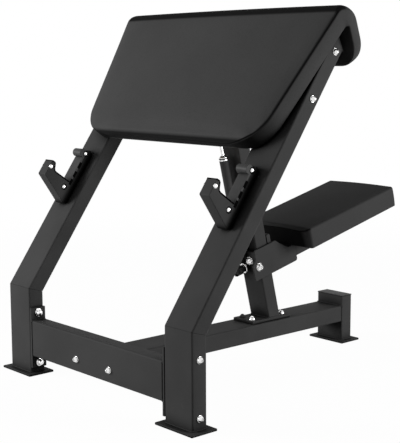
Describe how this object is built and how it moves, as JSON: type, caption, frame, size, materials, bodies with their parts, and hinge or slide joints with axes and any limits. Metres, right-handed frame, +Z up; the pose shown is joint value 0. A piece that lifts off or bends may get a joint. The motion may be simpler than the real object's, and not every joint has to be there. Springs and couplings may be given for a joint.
{
  "type": "preacher curl bench",
  "caption": "Black preacher curl bench with a hooked sloping arm pad, bar holders, a leaning column and a seat that slides on it.",
  "frame": {"origin": "on the floor, under the middle of the bench's bounding box", "axes": "+Z up. The lifter sits at the +Y end and faces -Y. +X is the bench's width."},
  "size_m": [0.84, 1.0706, 0.9865],
  "materials": {
    "black_powder_coat": "satin powder coat with a fine even texture",
    "black_vinyl": "synthetic upholstery vinyl, satin, with a fine grain",
    "black_plastic": "moulded, matte",
    "grey_plastic": "moulded, matte, wears where the bar rests",
    "chrome": "bright plated",
    "plywood": "raw, sawn edges"
  },
  "bodies": {
    "frame": {"front_beam": "black_powder_coat", "upper_beam": "black_powder_coat", "spine": "black_powder_coat", "spine_joint_plate": "black_powder_coat", "spine_joint_plate_bolt_left": "chrome", "spine_joint_plate_bolt_right": "chrome", "rear_post": "black_powder_coat", "rear_post_cap": "black_plastic", "column": "black_powder_coat", "column_base_plate": "black_powder_coat", "column_joint_plate": "black_powder_coat", "arm_pad_cushion": "black_vinyl", "arm_pad_board": "plywood", "strut_rod": "chrome", "strut_upper_stud": "chrome", "foot_plate_rear": "black_powder_coat", "upright_lower_left": "black_powder_coat", "upright_upper_left": "black_powder_coat", "upright_cap_left": "black_plastic", "foot_plate_left": "black_powder_coat", "bar_holder_left": "black_powder_coat", "bar_holder_liner_left": "grey_plastic", "front_beam_flange_left": "black_powder_coat", "upper_beam_flange_left": "black_powder_coat", "front_beam_bolt_left_high": "chrome", "upper_beam_bolt_left_high": "chrome", "front_beam_bolt_left_low": "chrome", "upper_beam_bolt_left_low": "chrome", "column_base_bolt_front_left": "chrome", "column_base_bolt_rear_left": "chrome", "upright_lower_right": "black_powder_coat", "upright_upper_right": "black_powder_coat", "upright_cap_right": "black_plastic", "foot_plate_right": "black_powder_coat", "bar_holder_right": "black_powder_coat", "bar_holder_liner_right": "grey_plastic", "front_beam_flange_right": "black_powder_coat", "upper_beam_flange_right": "black_powder_coat", "front_beam_bolt_right_high": "chrome", "upper_beam_bolt_right_high": "chrome", "front_beam_bolt_right_low": "chrome", "upper_beam_bolt_right_low": "chrome", "column_base_bolt_front_right": "chrome", "column_base_bolt_rear_right": "chrome"},
    "seat_carriage": {"carriage_front_block": "black_powder_coat", "carriage_rear_plate": "black_powder_coat", "seat_rail": "black_powder_coat", "seat_rail_cap": "black_plastic", "seat_board": "plywood", "seat_cushion": "black_vinyl", "pull_pin_collar": "black_powder_coat", "strut_body": "black_powder_coat", "strut_lower_stud": "black_powder_coat", "carriage_cheek_left": "black_powder_coat", "carriage_side_bolt_left": "chrome", "carriage_front_bolt_left": "chrome", "carriage_cheek_right": "black_powder_coat", "carriage_side_bolt_right": "chrome", "carriage_front_bolt_right": "chrome"},
    "pin": {"pull_pin": "black_plastic"}
  },
  "joints": [
    {"name": "seat_slide", "type": "slide", "parent": "frame", "child": "seat_carriage", "axis": [0, -0.2402, 0.9707], "range_m": [0, 0.125]},
    {"name": "pull_pin_slide", "type": "slide", "parent": "seat_carriage", "child": "pin", "axis": [0, -0.9707, -0.2402], "range_m": [0, 0.012], "stiffness_N_per_m": 300, "springref_m": -0.005}
  ]
}
